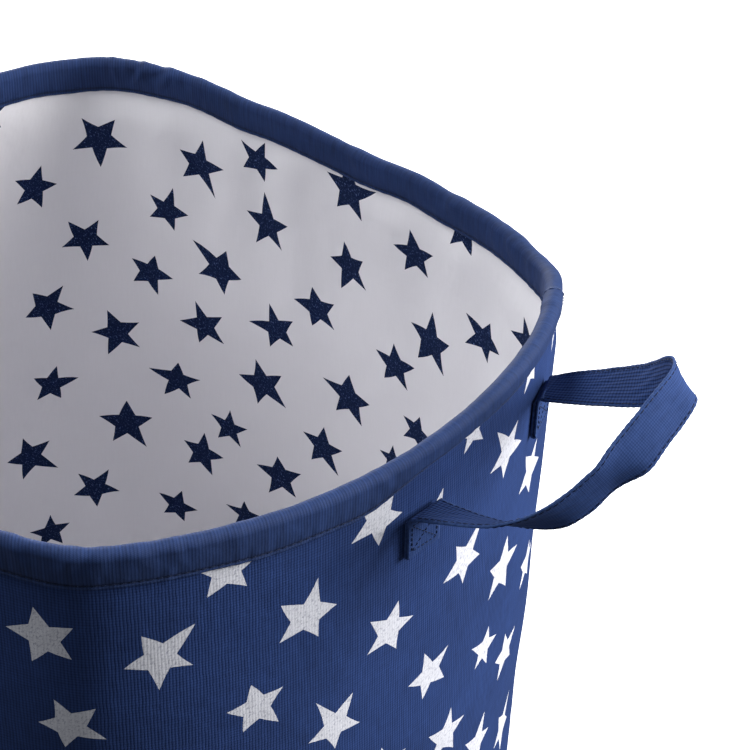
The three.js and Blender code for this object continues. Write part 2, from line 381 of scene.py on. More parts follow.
def shell_relief(angle, z):
    """How far the shell's cloth stands out from its plain shape: it is slack between the rim and the base."""
    fade = band(z, (0, 45), (HOOP_Z - 130, HOOP_Z - 54))
    broad = ripples(angle, z, 11, (3, 5, 7, 8), (-0.5, 0, 0.4))
    creases = ripples(angle, z, 12, (9, 14, 17), (-1.6, 1.2, 2.1))
    level = ripples(angle, z, 13, (1, 2, 3), (3.0, 4.1, 5.2))
    away = (np.degrees(angle) - CORNER_FULLNESS["angle"]) / CORNER_FULLNESS["spread"]
    full = CORNER_FULLNESS["out"] * np.exp(-away ** 2)
    full = full * band(HOOP_Z - z, CORNER_FULLNESS["rises"], CORNER_FULLNESS["falls"])
    return fade * np.clip(0.75 + 0.6 * broad + 0.3 * creases + 0.3 * level, 0, 3) + full


def lining_relief(angle, z):
    """How far the lining stands in from its plain shape: gathered under the binding, slack lower down."""
    fade = smoothstep(0, 45, z) * (1 - 0.97 * smoothstep(HOOP_Z - 30, HOOP_Z - 14.5, z))
    gathered = ripples(angle, z, 21, (13, 19, 23, 31), (-0.3, 0, 0.3))
    gathered = smoothstep(HOOP_Z - 190, HOOP_Z - 35, z) * gathered
    broad = ripples(angle, z, 22, (4, 6, 9), (-0.6, 0.5))
    level = ripples(angle, z, 23, (1, 2), (3.3, 4.4))
    return fade * np.clip(1.8 + 1.0 * broad + 1.1 * gathered + 0.35 * level, 0, 4.8)


def seam_lap(along, thickness):
    """How far a cloth's last end stands off over its first end where the side seam laps."""
    return (thickness + LAP_RISE) * smoothstep(CLOTH_END - SEAM_LAP - 4, CLOTH_END - SEAM_LAP - 0.5, along)


def wall_cloth(name, faces_in, radii, bottom, stars, seed, materials):
    """One wall cloth. faces_in says which side carries the print: the inside for the lining."""
    flat, triangles, printed = wall_pattern(bottom, SHELL_TOP, stars, seed)
    along, z = flat.T
    angle = along / MID_RADIUS
    lap = seam_lap(along, radii[1] - radii[0])
    if faces_in:
        shift = -lining_relief(angle, z) - lap
        front, back = settle(angle, radii[0] + shift, z), settle(angle, radii[1] + shift, z)
        triangles = triangles[:, ::-1]
    else:
        shift = shell_relief(angle, z) + lap - BASE_TUCK["depth"] * (1 - smoothstep(0, BASE_TUCK["height"], z))
        front, back = settle(angle, radii[1] + shift, z), settle(angle, radii[0] + shift, z)
    edge = np.minimum(z - bottom, np.minimum(along - CLOTH_START, CLOTH_END - along))
    wear = 1 - smoothstep(0, 5, edge)
    wall = printed_cloth(name, front, back, triangles, printed, flat, wear, materials)
    bend_with_rim(wall)
    return wall


def bend_with_rim(piece):
    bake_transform(piece)


def felt_wall(materials):
    """The felt between the two cloths, which keeps the bin standing."""
    columns, rows = 240, 40
    heights = np.linspace(INNER_WALL_BOTTOM, HOOP_Z - 6, rows)
    angle, z = np.meshgrid(np.arange(columns) / columns * TURN, heights, indexing="ij")
    outer, inner = settle(angle, INTERLINING[1], z), settle(angle, INTERLINING[0], z)
    section = np.concatenate([outer, inner[:, ::-1]], axis=1)
    faces = grid_faces(columns, 2 * rows, True, True)
    flat = np.stack([angle * MID_RADIUS * MM, z * MM, 0 * z], axis=-1)
    flat = np.concatenate([flat, flat[:, ::-1]], axis=1).reshape(-1, 3)
    wall = make_object("felt_interlining", section.reshape(-1, 3), faces, materials,
                       attributes={"flat": flat, "wear": np.zeros(len(flat))})
    bend_with_rim(wall)
    return wall


def disc_cloth(name, sizes, faces_down, stars, seed, materials, relief):
    """A round cloth of the base. faces_down says which side carries the print."""
    radius = sizes["radius"]
    ring = np.arange(240) / 240 * TURN
    border = radius * np.stack([np.cos(ring), np.sin(ring)], axis=1)
    axis = np.arange(-radius, radius, DISC_STEP)
    x, y = [a.ravel() for a in np.meshgrid(axis, axis)]
    grid = np.stack([x, y], axis=1)[np.hypot(x, y) < radius - 0.6 * DISC_STEP]
    flat, triangles, printed = printed_pattern(border, grid, DISC_STEP, stars, seed)
    spread, angle = np.hypot(flat[:, 0], flat[:, 1]), np.arctan2(flat[:, 1], flat[:, 0])
    lift = relief(angle, spread)
    low = settle(angle, spread, sizes["bottom"] + lift)
    high = settle(angle, spread, sizes["bottom"] + sizes["thickness"] + lift)
    wear = smoothstep(radius - 6, radius, spread)
    sides = (low, high, triangles[:, ::-1]) if faces_down else (high, low, triangles)
    cloth = printed_cloth(name, *sides, printed, flat, wear, materials)
    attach(cloth, "base")
    return cloth


# ---- the binding -----------------------------

BINDING_COLUMNS = 900
TAPE_LAP_ANGLE = math.radians(25.0)
TAPE_LAP_LENGTH = 15.0
TAPE_LAP_RISE = 0.4
SKIRT_STITCH_DROP = 12.2
SKIRT_GROOVE = {"width": 0.7, "depth": 0.55}
SKIRT_EDGE_WAVE = 0.45


def binding_profile():
    """The folded tape in section as (out, up) from the hoop: outside from the skirt's edge over the top to the
    inside skirt's edge, then back along its inner face. The first part is marked 1 for the outer face."""
    far, near_face = SKIRT_REACH[1], SKIRT_REACH[0]
    outer = [(far - 0.25, -SKIRT_DROP), (far, -SKIRT_DROP + 0.3)]
    heights = np.array([-13.2, -12.7, -12.2, -11.7, -11.2, -10.2, -9.0, -7.6, -6.2, -5.0, -3.8, -2.6, -1.5])
    outer += list(zip(far + (TUBE_RADII[1] - 0.03 - far) * smoothstep(-13, -4, heights), heights))
    start, end = math.radians(-9), math.radians(189)
    arc = np.linspace(start, end, 21)
    over = [(TUBE_RADII[1] * math.cos(a), TUBE_RADII[1] * math.sin(a)) for a in arc]
    face = outer + over + [(-x, z) for x, z in reversed(outer)]
    inner = [(near_face, -SKIRT_DROP + 0.05), (near_face, -9), (near_face, -4.2)]
    low, high = math.radians(-30), math.radians(210)
    under = [(TUBE_RADII[0] * math.cos(a), TUBE_RADII[0] * math.sin(a)) for a in np.linspace(low, high, 13)]
    lining_face = inner + under + [(-x, z) for x, z in reversed(inner)]
    return np.array(face), np.array(lining_face[::-1])


def tape_lap(angle):
    """1 where the tape's end lies over its start. It ends in a folded edge and dies away behind it."""
    behind = (TAPE_LAP_ANGLE - angle) * MID_RADIUS
    return band(behind, (-0.2, 0.5), (TAPE_LAP_LENGTH - 3, TAPE_LAP_LENGTH + 2))


def seam_hump(angle):
    """Where the shell's lapped side seam lies under the binding's skirt."""
    across = (angle - SIDE_SEAM_ANGLE) * MID_RADIUS - SEAM_LAP / 2
    return 1 - smoothstep(SEAM_LAP / 2 + 1, SEAM_LAP / 2 + 6, np.abs(across))


# Where the outer skirt rolls in over the rim, in degrees, from which height, and how much of its depth is left.
SKIRT_ROLL = {"rises": (-26, -11), "falls": (22, 50), "from": -4.0, "left": 0.2}
# Where the tape is pulled tight round the rim, in degrees, and how far that flattens its ribs.
PULLED_TIGHT = {"rises": (-30, 0), "falls": (85, 110), "share": 0.85}


def skirt_height(angle, up, side):
    """A height on the tape's skirt, moved up where the outer one (side 0) has rolled in over the rim."""
    rolled = band(np.degrees(angle), SKIRT_ROLL["rises"], SKIRT_ROLL["falls"]) * (1 - SKIRT_ROLL["left"])
    below = np.minimum(up - SKIRT_ROLL["from"], 0)
    return up - below * rolled * (np.asarray(side) == 0)


def skirt_pucker(angle, side):
    """The small gathers that the seam pulls into the tape, between 0 and 1."""
    return np.clip(0.5 + 0.5 * ripples(angle, 0, 31 + side, (88, 131, 173, 211, 47), (0,)), 0, 1.4)


# Creases in the binding, as (angle in degrees, slant, width, height). More small ones are spread all round.
TAPE_CREASES = (
    (116.4, -0.2, 1.4, 0.9), (112.8, 0.5, 1.8, 1.2), (108.6, 0.6, 2.7, 1.4), (103, 0.5, 4.0, 0.55),
    (96, -0.5, 5.0, 0.5), (70, -0.5, 5.0, 0.5), (52, 0.45, 5.0, 0.6), (39, -0.4, 4.0, 0.5),
    (-52, 0.5, 4.0, 0.35), (-58, -0.4, 4.0, 0.35), (-61, -0.5, 3.4, 0.8), (-66, 0.5, 3.6, 0.7),
    (-150, 0.5, 3.0, 0.8), (-155, -0.5, 4.0, 0.6),
)


def tape_creases(angle, up):
    draw = np.random.RandomState(37)
    small = [(draw.uniform(-180, 180), draw.uniform(-0.7, 0.7), draw.uniform(2, 4), draw.uniform(0.05, 0.28))
             for _ in range(60)]
    relief = 0.0
    for at, slant, width, height in [*TAPE_CREASES, *small]:
        across = (np.mod(angle - math.radians(at) + math.pi, TURN) - math.pi) * MID_RADIUS + slant * (up + 4)
        relief = relief + height * (np.exp(-(across / width) ** 2) - 0.7 * np.exp(-(across / width - 1.7) ** 2))
    return relief * (1 - 0.6 * smoothstep(0.5, 3.5, up)) * smoothstep(-SKIRT_DROP, -7, up)


def skirt_relief(angle, side, groove=1.0):
    """How far the tape's skirt stands off its plain shape: gathered, and drawn in along the stitches."""
    pucker = skirt_pucker(angle, side)
    return 0.3 * pucker - SKIRT_GROOVE["depth"] * groove * (0.6 + 0.4 * pucker)


def skirt_drop(angle, up, side):
    """How much higher the tape's skirt lies than its plain shape, with its wavy edge."""
    edge_wave = SKIRT_EDGE_WAVE * ripples(angle, 0, 35, (5, 9, 16, 27), (0,))
    return (1 - smoothstep(-SKIRT_DROP, -8, up)) * edge_wave + skirt_height(angle, up, side) - up


def binding_points(angle, out, up, on_face, groove):
    """The tape's points, from where they lie in its plain section."""
    side = np.where(out > 0, 0, 1)
    sign = np.where(out > 0, 1.0, -1.0)
    skirt = 1 - smoothstep(-9.5, -4.5, up)
    relief = skirt * np.where(side == 0, skirt_relief(angle, 0, groove), skirt_relief(angle, 1, groove))
    drop = skirt_drop(angle, up, side)
    plump = 0.1 * ripples(angle, 0, 36, (11, 23, 37, 61), (0,)) + tape_creases(angle, up)
    length = np.maximum(np.hypot(out, up), 1e-6)
    tube = smoothstep(-11, -2, up)
    lift = on_face * tape_lap(angle) * TAPE_LAP_RISE
    out = out + sign * relief * on_face + tube * (plump * out / length)
    up = up + tube * (plump * up / length)
    out = out + lift * np.where(tube > 0, sign * (1 - tube) + tube * out / length, sign)
    up = up + lift * tube * up / length
    out = out + np.where(side == 0, seam_hump(angle) * (1 - smoothstep(-6, -2, up)), 0)
    return settle(angle, MID_RADIUS + out, HOOP_Z + up + drop), up


def binding_wear_and_highlight(angle, up, lifted, on_face):
    """The rubbed places, the skirts' edges and the tape's folded end, and a painted highlight along the crown
    over the hoop.
    """
    edge = np.where(on_face, 1 - smoothstep(0, 1.6, up + SKIRT_DROP), 0)
    # Painted highlight: the crown over the hoop is made lighter, as if lit from above.
    crown_highlight = np.where(on_face, smoothstep(2.6, 3.9, lifted), 0)
    lap_edge = np.exp(-(((TAPE_LAP_ANGLE - angle) * MID_RADIUS) / 0.8) ** 2) * on_face
    return np.clip(0.25 * edge + 0.15 * crown_highlight + 0.5 * lap_edge, 0, 1)


def binding(materials):
    """The tape folded over the hoop, with both skirts."""
    face, lining_face = binding_profile()
    section = np.concatenate([face, lining_face])
    angles = np.arange(BINDING_COLUMNS) / BINDING_COLUMNS * TURN - math.pi
    angle, column = np.meshgrid(angles, np.arange(len(section)), indexing="ij")
    out, up = section[column, 0], section[column, 1]
    on_face = column < len(face)
    groove = np.exp(-((up + SKIRT_STITCH_DROP) / SKIRT_GROOVE["width"]) ** 2)
    points, lifted = binding_points(angle, out, up, on_face, groove)
    across = np.concatenate([path_lengths(face), path_lengths(lining_face)])
    flat = np.stack([angle * MID_RADIUS * MM, across[column] * MM, 0 * angle], axis=-1)
    pulled = PULLED_TIGHT["share"] * band(np.degrees(angle), PULLED_TIGHT["rises"], PULLED_TIGHT["falls"])
    # The wear attribute carries the rubbed edges and the crown's painted highlight.
    attributes = {"flat": flat.reshape(-1, 3), "wear": binding_wear_and_highlight(angle, up, lifted, on_face).ravel(),
                  # The seam attribute marks the tape's stitched groove, which the tape's material darkens with
                  # painted shadow.
                  "pulled": pulled.ravel(), "seam": (groove * on_face).ravel()}
    faces = grid_faces(BINDING_COLUMNS, len(section), True, True)[:, ::-1]
    tape = make_object("rim_binding_tape", points.reshape(-1, 3), faces, materials, attributes=attributes)
    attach(tape, "rim")
    return tape


# ---- the straps ------------------------------

def between(a, b, start, end, t):
    """The point at t on the way from a, at start, to b, at end."""
    return a * (end - t) / (end - start) + b * (t - start) / (end - start)


def smooth_line(rows, steps):
    """A centripetal Catmull-Rom line through the rows, with the first and last rows only guiding its ends."""
    rows = np.asarray(rows, float)
    made = []
    for i in range(1, len(rows) - 2):
        p = rows[i - 1:i + 3]
        knots = np.concatenate([[0], np.cumsum(np.sqrt(np.linalg.norm(np.diff(p, axis=0), axis=1)))])
        t = np.linspace(knots[1], knots[2], steps, endpoint=False)[:, None]
        a = [between(p[k], p[k + 1], knots[k], knots[k + 1], t) for k in range(3)]
        b = [between(a[k], a[k + 1], knots[k], knots[k + 2], t) for k in range(2)]
        made.append(between(b[0], b[1], knots[1], knots[2], t))
    return np.concatenate(made + [rows[-2][None]])


# How far a sewn end's two layers stand off the shell.
UNDER_LAYER = 0.98
TOP_LAYER = 2.34
FOLD_UP = SEWN_END_BOTTOM + 0.75
ROOT_BEND = {"radius": 2.6, "from": -28.6, "to": math.radians(100)}


def end_profile():
    """A sewn end in side view as (out from the shell, up from the hoop): down the tucked-under layer, round the
    fold, up the top layer and out round the root."""
    under = [(UNDER_LAYER, z) for z in np.linspace(-29.4, FOLD_UP, 14)]
    middle, reach = (UNDER_LAYER + TOP_LAYER) / 2, (TOP_LAYER - UNDER_LAYER) / 2
    fold = [(middle - reach * math.cos(a), FOLD_UP - reach * math.sin(a))
            for a in np.linspace(0, math.pi, 9)[1:-1]]
    top = [(TOP_LAYER, z) for z in np.linspace(FOLD_UP, ROOT_BEND["from"], 16)]
    r = ROOT_BEND["radius"]
    bend = [(TOP_LAYER + r + r * math.cos(a), ROOT_BEND["from"] + r * math.sin(a))
            for a in np.linspace(math.pi, ROOT_BEND["to"], 7)[1:]]
    return np.array(under + fold + top + bend)


def sewn_end_line(middle):
    """The centre line of one sewn end, and the way round the bin there."""
    profile = end_profile()
    line = settle(middle, SHELL[1] + profile[:, 0], HOOP_Z + profile[:, 1])
    step = 0.01
    round_it = settle(middle + step, SHELL[1], HOOP_Z - 35) - settle(middle - step, SHELL[1], HOOP_Z - 35)
    return line, round_it / np.linalg.norm(round_it)


def strap_path():
    """The whole right strap's centre line and width directions, from one tucked-under end to the other."""
    front, round_front = sewn_end_line(-SEWN_END_ANGLE)
    back, round_back = sewn_end_line(SEWN_END_ANGLE)
    back = back[::-1]
    middle = [np.array(at) + (0, 0, HOOP_Z) for at, _ in LOOP]
    line = smooth_line([front[-2], front[-1], *middle, back[0], back[1]], LOOP_STEPS)
    turns = [-round_front, *[np.array(width, float) for _, width in LOOP], round_back]
    widths = smooth_line([2 * turns[0] - turns[1], *turns, 2 * turns[-1] - turns[-2]], LOOP_STEPS)
    starting, ending = np.tile(turns[0], (len(front) - 1, 1)), np.tile(turns[-1], (len(back) - 1, 1))
    return np.concatenate([front[:-1], line, back[1:]]), np.concatenate([starting, widths, ending])


def strap_section(half):
    """Round the strap's section: the top face, an edge, the bottom face and the other edge, as (across,
    through) with through in half thicknesses."""
    flat = np.linspace(-1, 1, 25)[1:-1] * (half - 0.45)
    top = [(u, 1.0) for u in flat]
    edge = [(half - 0.32 + 0.32 * math.sin(a), math.cos(a)) for a in np.linspace(0.5, math.pi - 0.5, 4)]
    bottom = [(u, -1.0) for u in flat[::-1]]
    other = [(-u, -t) for u, t in edge]
    return np.array(top + edge + bottom + other)


EDGE_STITCH_INSET = 1.5
EDGE_STITCH_PITCH = 3.3
# Where a strap's lower edge is rumpled, and where it rolls in at the strap's outermost turn.
STRAP_RUMPLE = {"at": 138, "reach": 8, "out": 1.1}
STRAP_ROLL = {"at": 190, "spread": 12, "in": 3.0}
STRAP_CUP = {"height": 0.5, "length": 118.0, "width": 1.6}
STRAP_CREASE = {"height": 0.14, "length": 17.0}


def strap_spread(s, across):
    """How far a strap's surface moves across its width, near its lower edge."""
    at, reach = STRAP_RUMPLE["at"], STRAP_RUMPLE["reach"]
    rumple = np.exp(-((s - at - reach) / reach) ** 2) - np.exp(-((s - at + reach) / reach) ** 2)
    roll = np.exp(-((s - STRAP_ROLL["at"]) / STRAP_ROLL["spread"]) ** 2)
    return (STRAP_ROLL["in"] * roll - STRAP_RUMPLE["out"] * rumple) * smoothstep(2, STRAP_HALF_WIDTH, -across)


def strap_freedom(s, total):
    """1 in a strap's free part and 0 in its sewn ends."""
    sewn = sewn_length()
    return band(s, (sewn - 4, sewn + 14), (total - sewn - 14, total - sewn + 4))


def strap_lift(s, across, total):
    """How far a strap's free part stands off its plain shape, through its thickness."""
    free = strap_freedom(s, total)
    bowed = np.cos(math.pi * across / STRAP_HALF_WIDTH / STRAP_CUP["width"])
    cup = STRAP_CUP["height"] * free * bowed * np.sin(TURN * s / STRAP_CUP["length"])
    crease = STRAP_CREASE["height"] * free * np.cos(TURN * s / STRAP_CREASE["length"] + 1.3 * across)
    return cup + crease * np.cos(s / 9.3 + 0.4)


def from_stitch_row(across, width):
    """1 on a strap's rows of edge stitches, falling away on both sides."""
    return np.exp(-((np.abs(across) - (STRAP_HALF_WIDTH - EDGE_STITCH_INSET)) / width) ** 2)


class Strap:
    """The strap's centre line with its width and thickness directions, all by length along it."""

    def __init__(self, turn):
        centre, wide = strap_path()
        length = path_lengths(centre)
        along = unit(np.gradient(centre, length, axis=0))
        wide = unit(wide - (wide * along).sum(1)[:, None] * along)
        spin = np.array([[math.cos(turn), -math.sin(turn), 0], [math.sin(turn), math.cos(turn), 0], [0, 0, 1]])
        self.length = length
        self.centre = centre @ spin.T
        self.along = along @ spin.T
        self.wide = wide @ spin.T
        self.thick = np.cross(self.along, self.wide)

    def at(self, s):
        """The centre line's points and the width and thickness directions, at lengths along the strap."""
        def read(rows):
            return np.stack([np.interp(s, self.length, rows[:, k]) for k in range(3)], axis=-1)
        return read(self.centre), unit(read(self.wide)), unit(read(self.thick))


def strap_stops(strap):
    """Lengths to put a ring at: close together round the folds, and every millimetre or so elsewhere."""
    turn = np.linalg.norm(np.diff(strap.along, axis=0), axis=1)
    cost = np.concatenate([[0], np.cumsum(np.diff(strap.length) + 3.0 * turn)])
    return np.interp(np.linspace(0, cost[-1], int(cost[-1] / 0.85)), cost, strap.length)


def sewn_length():
    """How much of the strap, from either end, is sewn flat."""
    return float(path_lengths(end_profile())[-1])


def strap_mesh(name, turn, materials):
    """One whole strap as a closed mesh, and its line."""
    strap = Strap(turn)
    stops, total = strap_stops(strap), strap.length[-1]
    section = strap_section(STRAP_HALF_WIDTH)
    s, column = np.meshgrid(stops, np.arange(len(section)), indexing="ij")
    across, through = section[column, 0], section[column, 1]
    beat = np.cos(TURN * s / EDGE_STITCH_PITCH)
    outer_rim = smoothstep(STRAP_HALF_WIDTH - 1.6, STRAP_HALF_WIDTH, np.abs(across))
    half = STRAP_HALF_THICKNESS * (1 - from_stitch_row(across, 0.6) * (0.2 + 0.12 * beat))
    uneven = beat + 0.8 * np.cos(TURN * s / 23.0) * np.cos(s / 7.1)
    width_wave = 0.1 * strap_freedom(s, total) * outer_rim * uneven
    centre, wide, thick = strap.at(s)
    points = (centre + wide * (across + np.sign(across) * width_wave + strap_spread(s, across))[..., None]
              + thick * (through * half + strap_lift(s, across, total))[..., None])
    columns = len(section)
    faces = grid_faces(len(stops), columns, False, True)[:, ::-1]
    caps = [list(range(columns)), [(len(stops) - 1) * columns + k for k in range(columns)][::-1]]
    flat = np.stack([across * MM, s * MM, 0 * s], axis=-1).reshape(-1, 3)
    wear = smoothstep(STRAP_HALF_WIDTH - 1.1, STRAP_HALF_WIDTH, np.abs(across)).ravel()
    underside = (section[:, 1] < 0) & (np.roll(section[:, 1], -1) < 0)
    kinds = np.concatenate([np.tile(underside.astype(int), len(stops) - 1), [0, 0]])
    body = make_object(name, points.reshape(-1, 3), faces.tolist() + caps, materials, kinds,
                       {"flat": flat, "wear": wear, "seam": from_stitch_row(across, 0.5).ravel()})
    return body, strap


# ---- the stitches ----------------------------

THREAD_RADIUS = 0.2
BINDING_THREAD_RADIUS = 0.17
LAP_THREAD_RADIUS = 0.22
# One stitch's shape: how far along it each ring is, how high above the cloth, and how thick.
STITCH_STOPS = np.array([0.0, 0.12, 0.35, 0.65, 0.88, 1.0])
STITCH_HEIGHTS = np.array([-1.0, 0.35, 1.0, 1.0, 0.35, -1.0])
STITCH_THICKNESS = np.array([0.8, 1.0, 1.05, 1.05, 1.0, 0.8])
STITCH_SIDES = 6
STITCH_SHARE = 0.78
# Each stitch reads its material's noise this much further on, in metres.
STITCH_NOISE_STEP = 0.0037


def threads(name, starts, ends, lifts, radius, materials):
    """Stitches as short arched threads. starts and ends are where each one dives into the cloth, and lifts says
    which way it stands up from the cloth, with its length as its height."""
    along, up = unit(ends - starts), unit(lifts)
    side = unit(np.cross(along, up))
    ring = np.arange(STITCH_SIDES) / STITCH_SIDES * TURN
    centre = starts[:, None] + (ends - starts)[:, None] * STITCH_STOPS[None, :, None]
    centre = centre + lifts[:, None] * STITCH_HEIGHTS[None, :, None]
    across = side[:, None] * np.cos(ring)[None, :, None] + up[:, None] * np.sin(ring)[None, :, None]
    points = centre[:, :, None] + across[:, None] * (radius * STITCH_THICKNESS)[None, :, None, None]
    count, rings = len(starts), len(STITCH_STOPS)
    one = grid_faces(rings, STITCH_SIDES, False, True)
    last = (rings - 1) * STITCH_SIDES
    caps = np.array([list(range(STITCH_SIDES))[::-1], [last + k for k in range(STITCH_SIDES)]])
    faces = []
    for i in range(count):
        faces.extend((one + i * rings * STITCH_SIDES).tolist())
        faces.extend((caps + i * rings * STITCH_SIDES).tolist())
    span = np.linalg.norm(ends - starts, axis=1)
    s = STITCH_STOPS[None, :, None] * span[:, None, None] + np.zeros((1, 1, STITCH_SIDES))
    turn = np.zeros((count, rings, 1)) + ring[None, None, :] * radius
    apart = np.arange(count)[:, None, None] * STITCH_NOISE_STEP
    flat = np.stack([turn * MM, s * MM + apart, 0 * s], axis=-1).reshape(-1, 3)
    return make_object(name, points.reshape(-1, 3), faces, materials, attributes={"flat": flat})


def row_of_stitches(place, first, last, pitch, share=STITCH_SHARE):
    """Starts, ends and the outward way for a row of stitches along place, which gives a point and that way."""
    count = max(1, int(round((last - first) / pitch)))
    stops = np.linspace(first, last, count, endpoint=False)
    step = (last - first) / count
    start, up = place(stops)
    end, _ = place(stops + step * share)
    return start, end, up


def all_rows(rows):
    return [np.concatenate(parts) for parts in zip(*rows)]


def on_wall(angle, reach, z, height, sign=1):
    """A point on a wall, and the way it faces with a stitch's height as its length."""
    here = settle(angle, reach, z)
    return here, unit(settle(angle, reach + sign, z) - here) * height


def binding_stitches(side, materials):
    """The row that closes the binding, outside the bin (side 0) or inside it (side 1)."""
    sign = 1.0 if side == 0 else -1.0

    def place(along):
        angle = along / MID_RADIUS - math.pi
        lift = tape_lap(angle) * TAPE_LAP_RISE + (seam_hump(angle) if side == 0 else 0)
        reach = MID_RADIUS + sign * (SKIRT_REACH[1] + skirt_relief(angle, side) + lift + 0.03)
        z = HOOP_Z - SKIRT_STITCH_DROP + skirt_drop(angle, -SKIRT_STITCH_DROP, side)
        return on_wall(angle, reach, z, 0.2, sign)

    row = row_of_stitches(place, 0, TURN * MID_RADIUS, 3.6)
    name = "binding_stitches_outside" if side == 0 else "binding_stitches_inside"
    thread = threads(name, *row, BINDING_THREAD_RADIUS, materials)
    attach(thread, "rim")
    return thread


def lap_stitches(materials):
    """The stitches that hold the tape's folded end down, across its width over the rim."""
    face, _ = binding_profile()
    length = path_lengths(face)

    def place(s):
        out, up = [np.interp(s, length, face[:, k]) for k in (0, 1)]
        before = [np.interp(s - 0.4, length, face[:, k]) for k in (0, 1)]
        after = [np.interp(s + 0.4, length, face[:, k]) for k in (0, 1)]
        run = unit(np.stack([after[0] - before[0], after[1] - before[1]], axis=-1))
        away = np.stack([run[:, 1], -run[:, 0]], axis=-1)
        angle = np.full(len(s), TAPE_LAP_ANGLE - 1.6 / MID_RADIUS)
        up = skirt_height(angle, up, np.where(out > 0, 0, 1))
        rise = TAPE_LAP_RISE + 0.05
        here, there = [settle(angle, MID_RADIUS + out + away[:, 0] * r, HOOP_Z + up + away[:, 1] * r)
                       for r in (rise, rise + 1)]
        return here, unit(there - here) * 0.28

    row = row_of_stitches(place, 2.0, length[-1] - 2.0, 3.0)
    thread = threads("binding_lap_stitches", *row, LAP_THREAD_RADIUS, materials)
    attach(thread, "rim")
    return thread


def base_topstitch(materials):
    """The row round the bottom of the shell that holds the base's seam."""
    def place(along):
        angle = along / MID_RADIUS
        z = np.full(np.shape(along), 6.5)
        reach = SHELL[1] + shell_relief(angle, z) + 0.02 + seam_hump(angle) * 0.9
        return on_wall(angle, reach, z, 0.24)

    row = row_of_stitches(place, 0, TURN * MID_RADIUS, 3.9)
    thread = threads("base_seam_stitches", *row, THREAD_RADIUS, materials)
    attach(thread, "base")
    return thread


def side_seam_stitches(materials):
    """Two rows down the shell's lapped side seam."""
    rows = []
    for inset in (2.0, 8.0):
        def place(z):
            angle = np.full(np.shape(z), (CLOTH_END - inset) / MID_RADIUS)
            reach = SHELL[1] + shell_relief(angle, z) + SHELL[1] - SHELL[0] + LAP_RISE + 0.02
            return on_wall(angle, reach, z, 0.24)
        rows.append(row_of_stitches(place, 9, HOOP_Z - SKIRT_DROP - 2, 3.6))
    thread = threads("side_seam_stitches", *all_rows(rows), THREAD_RADIUS, materials)
    bend_with_rim(thread)
    return thread


def strap_face(strap, s, across, side, rise=0.0):
    """A point on one face of a strap's plain shape, and the way that face looks."""
    centre, wide, thick = strap.at(s)
    across = np.asarray(across, float)
    over = wide * (across + strap_spread(s, across))[..., None]
    return centre + over + thick * (side * (STRAP_HALF_THICKNESS + rise)), thick * side


def strap_edge_stitches(name, strap, materials):
    """The rows along both edges of a strap's free part, on both faces."""
    sewn, total = sewn_length(), strap.length[-1]
    rows = []
    for across in (-1, 1):
        for side in (-1, 1):
            def place(s):
                offset = np.full(np.shape(s), across * (STRAP_HALF_WIDTH - EDGE_STITCH_INSET))
                point, away = strap_face(strap, s, offset, side, -0.16)
                return point + away * side * strap_lift(s, offset, total)[:, None], away * 0.26
            rows.append(row_of_stitches(place, sewn + 1, total - sewn - 1, EDGE_STITCH_PITCH, 0.85))
    return threads(name, *all_rows(rows), THREAD_RADIUS, materials)


# How far a sewn end's box of stitches keeps from the strap's edges, the fold and the root.
BOX = {"inset": 2.2, "low": 2.4, "high": 2.6}


def strap_box_stitches(name, strap, materials):
    """A sewn box with a cross in it through each sewn end."""
    profile = end_profile()
    run = path_lengths(profile)
    low = run[np.where(profile[:, 0] >= TOP_LAYER - 1e-6)[0][0]] + BOX["low"]
    high = run[np.where(profile[:, 1] >= ROOT_BEND["from"] - 1e-6)[0][0]] - BOX["high"]
    half = STRAP_HALF_WIDTH - BOX["inset"]
    a, b, c, d = (-half, low), (half, low), (half, high), (-half, high)
    rows = []
    for mirror in (False, True):
        for (u1, s1), (u2, s2) in ((a, b), (b, c), (c, d), (d, a), (a, c), (b, d)):
            reach = math.hypot(u2 - u1, s2 - s1)

            def place(distance):
                share = np.asarray(distance, float) / reach
                s = s1 + (s2 - s1) * share
                if mirror:
                    s = strap.length[-1] - s
                point, away = strap_face(strap, s, u1 + (u2 - u1) * share, 1, -0.1)
                return point, away * 0.26
            rows.append(row_of_stitches(place, 0.3, reach - 0.3, 2.6))
    return threads(name, *all_rows(rows), THREAD_RADIUS, materials)


# ---- the materials ---------------------------

